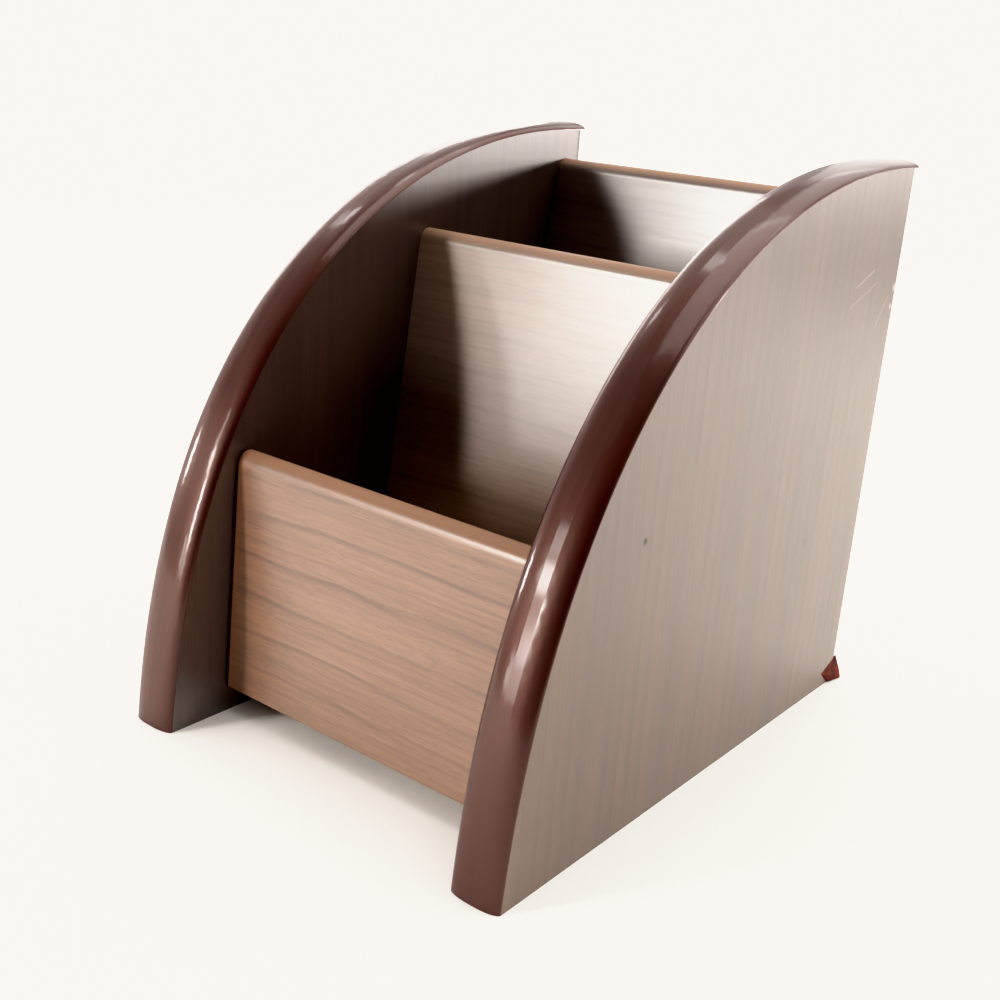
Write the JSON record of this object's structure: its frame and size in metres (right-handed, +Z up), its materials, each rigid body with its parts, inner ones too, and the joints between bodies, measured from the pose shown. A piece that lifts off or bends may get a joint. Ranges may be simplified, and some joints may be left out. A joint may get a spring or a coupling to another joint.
{
  "type": "pen stand with drawer",
  "caption": "Desk pen stand with quarter-round side boards in a rounded edge trim, a leaning divider and back board, and a pull-out drawer with an open top in the front bay.",
  "frame": {"origin": "bottom centre of the bounding box, on the surface that the stand rests on", "axes": "+X to the right as seen from the front, +Y to the back, +Z up; the drawer opens along -Y"},
  "size_m": [0.143, 0.1907, 0.177],
  "materials": {
    "walnut_side": "satin",
    "walnut_board": "satin",
    "edge_trim": "gloss",
    "hardboard": "matte",
    "drawer_ply": "matte",
    "beech": "matte",
    "steel": "brushed"
  },
  "bodies": {
    "stand": {"side_panel_left": "walnut_side", "side_panel_right": "walnut_side", "edge_trim_left": "edge_trim", "edge_trim_right": "edge_trim", "divider_board": "walnut_board", "back_board": "walnut_board", "base_panel": "hardboard", "runner_left": "beech", "runner_right": "beech", "divider_dowels": "beech", "back_board_dowels": "beech", "base_nails": "steel", "runner_pins": "steel"},
    "drawer": {"drawer_front": "walnut_board", "drawer_side_left": "drawer_ply", "drawer_side_right": "drawer_ply", "drawer_back": "drawer_ply", "drawer_bottom": "hardboard", "drawer_front_dowels": "beech", "drawer_nails": "steel"}
  },
  "joints": [
    {"name": "drawer_slide", "type": "slide", "parent": "stand", "child": "drawer", "axis": [0, -1, 0], "range_m": [0, 0.036]}
  ]
}
